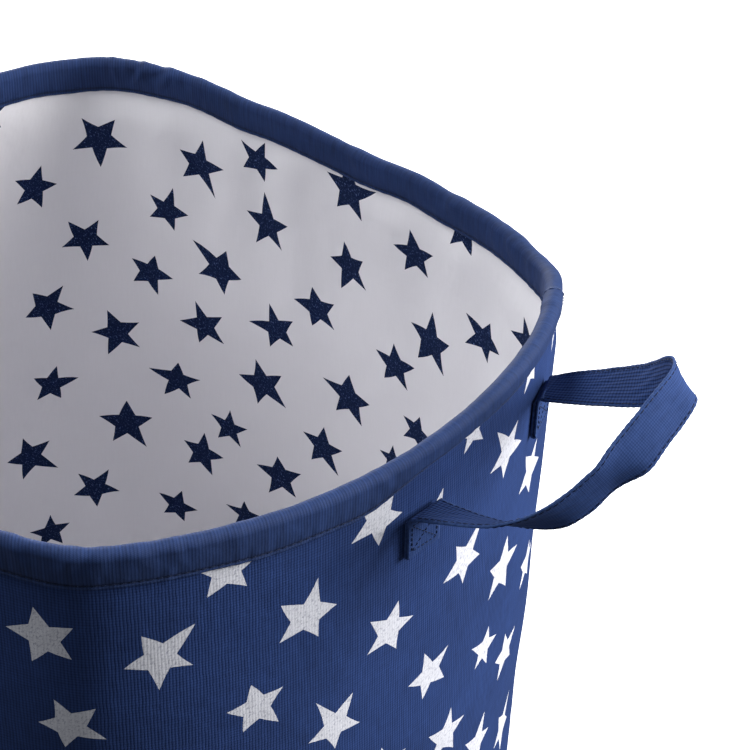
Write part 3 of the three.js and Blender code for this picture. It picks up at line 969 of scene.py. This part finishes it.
class Nodes:
    """A material's node tree, with short ways to add and join nodes."""

    def __init__(self, name):
        self.material = bpy.data.materials.new(name)
        self.material.use_nodes = True
        self.tree = self.material.node_tree
        self.shader = self.tree.nodes["Principled BSDF"]

    def add(self, kind, **settings):
        node = self.tree.nodes.new(kind)
        for key, value in settings.items():
            setattr(node, key, value)
        return node

    def join(self, source, target):
        self.tree.links.new(source, target)

    def feed(self, socket, value):
        if isinstance(value, bpy.types.NodeSocket):
            self.join(value, socket)
        else:
            socket.default_value = value

    def math(self, operation, *values):
        node = self.add("ShaderNodeMath", operation=operation)
        for socket, value in zip(node.inputs, values):
            self.feed(socket, value)
        return node.outputs[0]

    def attribute(self, name):
        return self.add("ShaderNodeAttribute", attribute_name=name)

    def position(self):
        """Where the point is on the flat cloth, in metres, and its x and y."""
        vector = self.attribute("flat").outputs["Vector"]
        split = self.add("ShaderNodeSeparateXYZ")
        self.join(vector, split.inputs[0])
        return vector, split.outputs[0], split.outputs[1]

    def noise(self, vector, size, stretch=(1, 1, 1), detail=2.0, roughness=0.5, distortion=0.0):
        """Noise between about 0.3 and 0.7, with features of that size in millimetres."""
        mapping = self.add("ShaderNodeMapping")
        self.join(vector, mapping.inputs["Vector"])
        mapping.inputs["Scale"].default_value = [1000.0 / size * k for k in stretch]
        node = self.add("ShaderNodeTexNoise")
        self.join(mapping.outputs[0], node.inputs["Vector"])
        node.inputs["Scale"].default_value = 1.0
        node.inputs["Detail"].default_value = detail
        node.inputs["Roughness"].default_value = roughness
        node.inputs["Distortion"].default_value = distortion
        return node.outputs["Fac"]

    def scale(self, value, low, high, to_low, to_high):
        node = self.add("ShaderNodeMapRange")
        for socket, number in zip(node.inputs, (value, low, high, to_low, to_high)):
            self.feed(socket, number)
        return node.outputs[0]

    def mix(self, share, a, b, blend="MIX"):
        node = self.add("ShaderNodeMix", data_type="RGBA", blend_type=blend)
        self.feed(node.inputs["Factor"], share)
        for socket, value in ((node.inputs["A"], a), (node.inputs["B"], b)):
            self.feed(socket, (*value, 1) if isinstance(value, tuple) else value)
        return node.outputs["Result"]

    def bump(self, height, distance, strength=1.0, normal=None):
        node = self.add("ShaderNodeBump")
        node.inputs["Distance"].default_value = distance
        node.inputs["Strength"].default_value = strength
        self.join(height, node.inputs["Height"])
        if normal is not None:
            self.join(normal, node.inputs["Normal"])
        return node.outputs["Normal"]


def wave_of(nodes, x, pitch):
    """A sine along x in metres, between -1 and 1, with that pitch in millimetres."""
    return nodes.math("SINE", nodes.math("MULTIPLY_ADD", x, TURN * 1000 / pitch, 0.0))


def ridges(nodes, x, pitch):
    """Ridges along x in metres, between 0 and 1, with that pitch in millimetres."""
    return nodes.math("ABSOLUTE", wave_of(nodes, x, pitch * 2))


# The weave wanders off straight by this much, in metres.
CLOTH_WANDER = 0.0008
TAPE_WANDER = 0.0005
CROSSING_SHARE = 0.4
# The middle height of a tape's ribs, which they keep where the tape is pulled tight.
RIB_MIDDLE = 0.64
# The colour of the painted shadow along the tape's stitched groove.
SEAM_SHADE = (0.003, 0.006, 0.02)


def plain_weave(nodes, x, y, warp, weft, wander):
    """The height of a plain weave between 0 and 1: ribs along y, crossed by fainter ones along x."""
    ribs = ridges(nodes, nodes.math("MULTIPLY_ADD", wander, CLOTH_WANDER, x), warp)
    crossing = ridges(nodes, nodes.math("MULTIPLY_ADD", wander, CLOTH_WANDER, y), weft)
    return nodes.math("ADD", nodes.math("MULTIPLY", ribs, 1 - CROSSING_SHARE),
                      nodes.math("MULTIPLY", crossing, CROSSING_SHARE))


def uneven(nodes, noise, spread):
    """A shade that varies with noise round 1, by at most spread."""
    return nodes.scale(noise, 0.3, 0.7, 1 - spread, 1 + spread)


def shaded(nodes, colour, *shades):
    """A colour made lighter or darker by the product of the shades."""
    shade = shades[0]
    for another in shades[1:]:
        shade = nodes.math("MULTIPLY", shade, another)
    grey = nodes.add("ShaderNodeCombineColor")
    for socket in grey.inputs:
        nodes.join(shade, socket)
    return nodes.mix(1.0, colour, grey.outputs[0], "MULTIPLY")


def rub(nodes, vector, colour, worn, size, least, most):
    """A colour laid where the wear attribute marks the cloth, in patches of that size, and how much of it there
    is: rubbed edges, and on the binding also a painted highlight along its crown.
    """
    patches = nodes.scale(nodes.noise(vector, size, detail=3.0), 0.4, 0.65, least, most)
    rubbed = nodes.math("MULTIPLY", nodes.attribute("wear").outputs["Fac"], patches)
    return nodes.mix(rubbed, colour, worn), rubbed


def speckle(nodes, vector, colour, tint, amount, size):
    """Specks of the tint over a colour, as from ink that has taken unevenly."""
    slant = nodes.add("ShaderNodeMapping")
    nodes.join(vector, slant.inputs["Vector"])
    slant.inputs["Rotation"].default_value = (0, 0, 0.6)
    specks = nodes.noise(slant.outputs[0], size, (1, 0.5, 1), detail=4.0, roughness=0.65, distortion=0.5)
    spare = 0.12 * (1 - amount)
    return nodes.mix(nodes.scale(specks, 0.5 + spare, 0.62 + spare, 0, 1), colour, tint)


def cloth_surface(nodes, vector, colour, rough, weave, depth, sheen, gloss, fuzz_size, slack):
    """Joins a cloth's colour, roughness, sheen and bump to its shader. sheen is (weight, roughness, tint),
    depth the weave's in millimetres, and slack the (size, height) of slow waves in millimetres and metres."""
    inputs = nodes.shader.inputs
    nodes.join(colour, inputs["Base Color"])
    nodes.join(rough, inputs["Roughness"])
    inputs["Sheen Weight"].default_value = sheen[0]
    inputs["Sheen Roughness"].default_value = sheen[1]
    inputs["Sheen Tint"].default_value = (*sheen[2], 1)
    inputs["Specular IOR Level"].default_value = gloss
    height = nodes.math("MULTIPLY_ADD", nodes.noise(vector, fuzz_size), 0.25, weave)
    slow = nodes.bump(nodes.noise(vector, slack[0]), slack[1], 0.5)
    nodes.join(nodes.bump(height, depth * MM, 0.9, slow), inputs["Normal"])
    return nodes.material


def woven_cloth(name, deep, light, warp, weft, depth, roughness, sheen, worn, flecks=None, broad=0.12, yarn=0.1,
                gloss=0.12):
    """A woven cloth. deep and light are its colours in the valleys and on the threads, warp and weft its thread
    pitches in millimetres, and flecks a (colour, amount, size) printed-over speckle."""
    nodes = Nodes(name)
    vector, x, y = nodes.position()
    weave = plain_weave(nodes, x, y, warp, weft, nodes.noise(vector, 9.0))
    colour = nodes.mix(nodes.scale(weave, 0.15, 0.95, 0, 1), deep, light)
    yarns = nodes.noise(vector, 1.0, (1 / warp, 0.07, 1), detail=1.0)
    picks = nodes.noise(vector, 1.0, (0.05, 1 / weft, 1), detail=1.0)
    colour = shaded(nodes, colour, uneven(nodes, yarns, yarn), uneven(nodes, picks, yarn / 2),
                    uneven(nodes, nodes.noise(vector, 60.0, detail=3.0), broad))
    if flecks:
        colour = speckle(nodes, vector, colour, *flecks)
    colour, rubbed = rub(nodes, vector, colour, worn, 2.5, 0.1, 0.75)
    rough = nodes.math("ADD", nodes.scale(weave, 0, 1, min(roughness + 0.1, 1), roughness),
                       nodes.math("MULTIPLY", rubbed, 0.1))
    return cloth_surface(nodes, vector, colour, rough, weave, depth, (sheen[0], 0.45, sheen[1]), gloss, 0.35,
                         (14.0, 0.0012))


def ribbed_tape(name, deep, light, rib, depth, roughness, sheen, worn):
    """A tape that runs along x, with ribs across it."""
    nodes = Nodes(name)
    vector, x, y = nodes.position()
    run = nodes.math("MULTIPLY_ADD", nodes.noise(vector, 5.0), TAPE_WANDER, x)
    tight = nodes.math("SUBTRACT", 1, nodes.attribute("pulled").outputs["Fac"])
    ribs = nodes.math("SUBTRACT", ridges(nodes, run, rib), RIB_MIDDLE)
    ribs = nodes.math("MULTIPLY_ADD", ribs, tight, RIB_MIDDLE)
    fine = nodes.math("MULTIPLY", wave_of(nodes, y, 0.8), wave_of(nodes, run, rib))
    fine = nodes.math("MULTIPLY_ADD", fine, 0.175, 0.175)
    weave = nodes.math("ADD", nodes.math("MULTIPLY", ribs, 0.65), fine)
    colour = nodes.mix(nodes.scale(weave, 0.1, 0.95, 0, 1), deep, light)
    yarns = nodes.noise(vector, 1.0, (1 / rib, 0.06, 1), detail=1.0)
    colour = shaded(nodes, colour, uneven(nodes, yarns, 0.16),
                    uneven(nodes, nodes.noise(vector, 45.0, detail=3.0), 0.12))
    # On the tape, the wear colour also paints a highlight along the crown over the hoop.
    colour, _ = rub(nodes, vector, colour, worn, 2.0, 0.15, 0.8)
    # Painted shadow: the tape's colour is darkened along its stitched groove.
    seam = nodes.math("MULTIPLY", nodes.attribute("seam").outputs["Fac"], 0.6)
    colour = nodes.mix(seam, colour, SEAM_SHADE)
    rough = nodes.scale(weave, 0, 1, min(roughness + 0.12, 1), roughness)
    return cloth_surface(nodes, vector, colour, rough, weave, depth, (sheen[0], 0.4, sheen[1]), 0.18, 0.3,
                         (8.0, 0.0008))


def thread_material(name, colour, light):
    """Twisted sewing thread."""
    nodes = Nodes(name)
    inputs = nodes.shader.inputs
    vector, x, y = nodes.position()
    across, along = nodes.math("MULTIPLY", x, 9000.0), nodes.math("MULTIPLY", y, 7000.0)
    twist = nodes.math("SINE", nodes.math("ADD", across, along))
    share = nodes.scale(twist, -1, 1, 0, 1)
    mottle = nodes.scale(nodes.noise(vector, 5.0), 0.3, 0.7, 0, 0.4)
    nodes.join(nodes.mix(mottle, nodes.mix(share, colour, light), light), inputs["Base Color"])
    nodes.join(nodes.scale(twist, -1, 1, 0.62, 0.45), inputs["Roughness"])
    inputs["Specular IOR Level"].default_value = 0.15
    nodes.join(nodes.bump(share, 0.00005, 0.8), inputs["Normal"])
    return nodes.material


def object_position(nodes):
    return nodes.add("ShaderNodeTexCoord").outputs["Object"]


def grained(name, grain, grain_from, tones, stain, reach, tint, rough, depth, metal=None):
    """A plain solid's material: a fine grain of two tones, with stains of a tint over it. grain and stain are
    (size, stretch, detail, roughness, distortion), and grain_from is where the grain's noise starts to show.
    reach is the stains' (start, end, share), rough the roughness in the grain's valleys and on its peaks, and
    depth the grain's in metres. metal is the metallic level; a metal's roughness follows its stains."""
    nodes = Nodes(name)
    vector, inputs = object_position(nodes), nodes.shader.inputs
    fine, broad = nodes.noise(vector, *grain), nodes.noise(vector, *stain)
    tone = nodes.mix(nodes.scale(fine, grain_from, 1 - grain_from, 0, 1), *tones)
    start, end, share = reach
    nodes.join(nodes.mix(nodes.scale(broad, start, end, 0, share), tone, tint), inputs["Base Color"])
    if metal is not None:
        inputs["Metallic"].default_value = metal
    nodes.join(nodes.scale(fine if metal is None else broad, 0.3, 0.7, *rough), inputs["Roughness"])
    nodes.join(nodes.bump(fine, depth), inputs["Normal"])
    return nodes.material


def spring_steel(name, dark, bright, rough):
    """Drawn wire, with draw marks and a few stains."""
    return grained(name, (0.6, (1, 1, 3), 3.0), 0.3, (dark, bright), (12.0, (1, 1, 1), 4.0), (0.5, 0.7, 0.35),
                   (0.3, 0.26, 0.22), (rough, rough + 0.2), 0.00003, 1.0)


NAVY_SHEEN = (0.03, (0.4, 0.5, 0.9))
STRAP_SHEEN = (0.03, (0.4, 0.5, 0.95))
# Rubbed-edge colour, which on the binding also paints the crown's highlight.
NAVY_WEAR_AND_HIGHLIGHT = (0.05, 0.09, 0.22)
SHELL_CLOTH = woven_cloth("navy_cloth", (0.0085, 0.021, 0.08), (0.0215, 0.048, 0.164), 1.42, 1.4, 0.16, 0.8,
                          NAVY_SHEEN, NAVY_WEAR_AND_HIGHLIGHT)
SHELL_PRINT = woven_cloth("white_print", (0.59, 0.6, 0.67), (0.66, 0.67, 0.735), 1.42, 1.4, 0.08, 0.8,
                          (0.02, (0.9, 0.9, 1.0)), (0.6, 0.62, 0.7), ((0.38, 0.39, 0.47), 0.85, 0.9),
                          0.03, 0.03)
LINING_CLOTH = woven_cloth("pale_cloth", (0.765, 0.757, 0.79), (0.8, 0.79, 0.825), 0.7, 0.7, 0.03, 0.5,
                           (0.02, (0.95, 0.95, 1.0)), (0.78, 0.78, 0.8), None, 0.015, 0.008, 0.2)
LINING_PRINT = woven_cloth("navy_print", (0.003, 0.008, 0.033), (0.006, 0.015, 0.055), 0.7, 0.7, 0.03, 0.7,
                           (0.01, (0.5, 0.6, 0.9)), (0.08, 0.1, 0.2), ((0.1, 0.15, 0.34), 0.45, 0.7),
                           0.05, 0.06, 0.08)
BINDING_TAPE = ribbed_tape("binding_tape", (0.008, 0.02, 0.071), (0.0165, 0.037, 0.122), 1.42, 0.08, 0.7,
                           STRAP_SHEEN, NAVY_WEAR_AND_HIGHLIGHT)
STRAP_OUTER = woven_cloth("strap_cloth", (0.015, 0.036, 0.125), (0.026, 0.056, 0.178), 1.1, 1.1, 0.12, 0.75,
                          (0.04, (0.4, 0.5, 0.95)), NAVY_WEAR_AND_HIGHLIGHT)
STRAP_INNER = woven_cloth("strap_underside", (0.004, 0.01, 0.04), (0.026, 0.056, 0.18), 1.6, 1.95, 0.2, 0.82,
                          STRAP_SHEEN, NAVY_WEAR_AND_HIGHLIGHT, yarn=0.04)
NAVY_THREAD = thread_material("navy_thread", (0.004, 0.008, 0.028), (0.012, 0.023, 0.066))
BLUE_THREAD = thread_material("blue_thread", (0.035, 0.055, 0.14), (0.1, 0.14, 0.28))
FELT = grained("white_felt", (0.9, (1, 1, 0.3), 5.0, 0.7, 1.5), 0.3, ((0.55, 0.54, 0.51), (0.78, 0.77, 0.74)),
               (18.0, (1, 1, 1), 3.0), (0.35, 0.65, 0.3), (0.6, 0.58, 0.53), (0.95, 0.85), 0.0004)
BOARD = grained("grey_fibreboard", (2.2, (1, 1, 0.2), 6.0, 0.75), 0.35,
                ((0.16, 0.115, 0.075), (0.36, 0.28, 0.2)), (0.5, (1, 1, 1), 2.0), (0.55, 0.7, 0.5),
                (0.5, 0.42, 0.33), (0.9, 0.75), 0.0003)
HOOP_WIRE = spring_steel("spring_wire", (0.35, 0.36, 0.37), (0.62, 0.63, 0.64), 0.3)
FERRULE = spring_steel("crimped_steel", (0.3, 0.3, 0.31), (0.55, 0.55, 0.56), 0.4)


# ---- put it together -------------------------

def wrap_stars(known, shift, seed, spacing, radii, clear_top):
    """The known stars, shifted and with heights in place of drops, and more wherever there is room."""
    along, down = shift
    placed = [(x + along, HOOP_Z - drop - down, radius, turn) for x, drop, radius, turn in known]
    room = (CLOTH_START, CLOTH_END, 0, HOOP_Z - clear_top)
    return spread_stars(placed, room, spacing, radii, np.random.RandomState(seed))


def shell_stars():
    known = [(x, drop, SHELL_STAR_SCALE * radius, turn) for x, drop, radius, turn in SHELL_STARS]
    return wrap_stars(known, SHELL_STAR_SHIFT, 5, 47, SHELL_STAR_RADII, 0)


def lining_stars():
    return wrap_stars(LINING_STARS, LINING_STAR_SHIFT, 6, 41, LINING_STAR_RADII, 26)


def base_stars(seed, radius, spacing, radii):
    """Stars over a disc, round one near its middle."""
    draw = np.random.RandomState(seed)
    first = (0.0, 8.0, sum(radii) / 2, 12.0)
    stars = spread_stars([first], (-radius, radius, -radius, radius), spacing, radii, draw)
    return [s for s in stars if math.hypot(s[0], s[1]) < radius + s[2]]


def panel_relief(angle, spread):
    """The bottom cloth rests flat, and turns up a little at its sewn edge."""
    return 0.45 * smoothstep(BASE_PANEL["radius"] - 5, BASE_PANEL["radius"], spread)


def base_lining_relief(angle, spread):
    """The base lining lies on the board, slightly rumpled, and dips at its sewn edge."""
    rumple = 0.5 + 0.35 * ripples(angle, spread, 41, (2, 3, 5), (1.5, 2.6)) * smoothstep(10, 60, spread)
    edge = smoothstep(BASE_LINING["radius"] - 9, BASE_LINING["radius"] - 1, spread)
    return np.clip(rumple, 0, 1.2) * (1 - edge)


shell = wall_cloth("shell_cloth", False, SHELL, 0.0, shell_stars(), 51, [SHELL_CLOTH, SHELL_PRINT])
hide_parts("outer_shell")
side_thread = side_seam_stitches([NAVY_THREAD])

lining = wall_cloth("lining_cloth", True, LINING, INNER_WALL_BOTTOM, lining_stars(), 52,
                    [LINING_CLOTH, LINING_PRINT])
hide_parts("wall_lining")

felt = felt_wall([FELT])
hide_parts("wall_interlining")

under = disc_cloth("base_cloth", BASE_PANEL, True, base_stars(61, 200, 50, SHELL_STAR_RADII), 53,
                   [SHELL_CLOTH, SHELL_PRINT], panel_relief)
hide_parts("base_panel")
base_thread = base_topstitch([NAVY_THREAD])

floor_cloth = disc_cloth("base_lining_cloth", BASE_LINING, False, base_stars(62, 198, 43, LINING_STAR_RADII),
                         54, [LINING_CLOTH, LINING_PRINT], base_lining_relief)
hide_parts("base_lining")

tape = binding([BINDING_TAPE])
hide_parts("rim_binding")
rim_threads = [binding_stitches(0, [NAVY_THREAD]), binding_stitches(1, [NAVY_THREAD]),
               lap_stitches([BLUE_THREAD])]

for side, turn in (("right", 0.0), ("left", math.pi)):
    body, strap = strap_mesh(f"{side}_strap", turn, [STRAP_OUTER, STRAP_INNER])
    edge_thread = strap_edge_stitches(f"{side}_strap_edge_stitches", strap, [NAVY_THREAD])
    box_thread = strap_box_stitches(f"{side}_strap_box_stitches", strap, [NAVY_THREAD])
    for piece in (body, edge_thread):
        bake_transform(piece)
    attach(box_thread, "rim")
    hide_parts(f"{side}_handle_loop", f"{side}_sewn_end_front", f"{side}_sewn_end_back")

for node, material in (("base_board", BOARD), ("rim_hoop", HOOP_WIRE), ("hoop_ferrule", FERRULE)):
    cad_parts[node].data.materials.clear()
    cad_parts[node].data.materials.append(material)


# ---- the set ---------------------------------

CAMERA = {"azimuth": 33.2, "elevation": 32.98, "distance": 1.1, "pan": -8.403, "tilt": -2.36, "roll": 1.08,
          "lens": 113.55}


def direction(azimuth, elevation):
    """The way from the bin to something seen at that azimuth and elevation in degrees."""
    a, e = math.radians(azimuth), math.radians(elevation)
    return Vector((math.sin(a) * math.cos(e), -math.cos(a) * math.cos(e), math.sin(e)))


def put_in_scene(thing, location, rotation):
    bpy.context.scene.collection.objects.link(thing)
    thing.location = location
    thing.rotation_mode = "QUATERNION"
    thing.rotation_quaternion = rotation


def make_camera():
    """The camera looks at the hoop's middle, and is then panned, tilted and rolled."""
    back = direction(CAMERA["azimuth"], CAMERA["elevation"])
    camera = bpy.data.objects.new("camera", bpy.data.cameras.new("camera"))
    facing = Quaternion((0, 0, 1), math.radians(CAMERA["pan"])) @ (-back).to_track_quat("-Z", "Y")
    facing = Quaternion(facing @ Vector((1, 0, 0)), math.radians(CAMERA["tilt"])) @ facing
    facing = facing @ Quaternion((0, 0, 1), math.radians(CAMERA["roll"]))
    put_in_scene(camera, Vector((0, 0, HOOP_Z * MM)) + back * CAMERA["distance"], facing)
    camera.data.sensor_width = 36.0
    camera.data.lens = CAMERA["lens"]
    bpy.context.scene.camera = camera


def area_light(name, azimuth, elevation, distance, size, power, colour):
    """A soft square light that faces the bin's middle."""
    back = direction(azimuth, elevation)
    data = bpy.data.lights.new(name, "AREA")
    data.shape, data.size, data.energy, data.color = "SQUARE", size, power, colour
    light = bpy.data.objects.new(name, data)
    put_in_scene(light, Vector((0, 0, 0.3)) + back * distance, (-back).to_track_quat("-Z", "Y"))


def make_floor():
    """A pale floor that glows a little, more so further out, so that it fades into the background."""
    line = np.linspace(-8000.0, 8000.0, 9)
    x, y = np.meshgrid(line, line, indexing="ij")
    nodes = Nodes("pale_floor")
    vector, inputs = object_position(nodes), nodes.shader.inputs
    mottle = nodes.scale(nodes.noise(vector, 400.0, detail=3.0), 0.3, 0.7, 0, 1)
    nodes.join(nodes.mix(mottle, (0.86, 0.86, 0.865), (0.9, 0.9, 0.9)), inputs["Base Color"])
    inputs["Roughness"].default_value = 0.9
    inputs["Specular IOR Level"].default_value = 0.1
    inputs["Emission Color"].default_value = (1, 1, 1, 1)
    away = nodes.add("ShaderNodeVectorMath", operation="LENGTH")
    nodes.join(vector, away.inputs[0])
    nodes.join(nodes.scale(away.outputs["Value"], 0.4, 2.2, 0.45, 1.0), inputs["Emission Strength"])
    points = np.stack([x, y, 0 * x - 0.05], axis=-1).reshape(-1, 3)
    floor = make_object("studio_floor", points, grid_faces(9, 9), [nodes.material])
    floor.visible_diffuse = floor.visible_glossy = False


def make_world():
    """A dim pale surround for the light, seen by the camera as plain white."""
    world = bpy.data.worlds.new("studio")
    world.use_nodes = True
    nodes, links = world.node_tree.nodes, world.node_tree.links
    background, seen = nodes["Background"], nodes.new("ShaderNodeBackground")
    background.inputs["Color"].default_value = (0.95, 0.97, 1.0, 1)
    background.inputs["Strength"].default_value = 0.18
    seen.inputs["Color"].default_value = (1.0, 1.0, 1.0, 1)
    pick = nodes.new("ShaderNodeMixShader")
    links.new(nodes.new("ShaderNodeLightPath").outputs["Is Camera Ray"], pick.inputs[0])
    links.new(background.outputs[0], pick.inputs[1])
    links.new(seen.outputs[0], pick.inputs[2])
    links.new(pick.outputs[0], nodes["World Output"].inputs["Surface"])
    bpy.context.scene.world = world


make_camera()
make_world()
make_floor()
area_light("key", 119, 25, 2.4, 1.3, 118, (1.0, 0.99, 0.97))
area_light("inside", -70, 52, 2.4, 1.2, 40, (0.98, 0.99, 1.0))
area_light("behind", 222, 16, 2.6, 1.2, 70, (1.0, 1.0, 1.0))
area_light("top", 20, 85, 2.6, 1.4, 8, (1.0, 1.0, 1.0))
bpy.context.scene.view_settings.view_transform = "Standard"

bpy.context.view_layer.update()
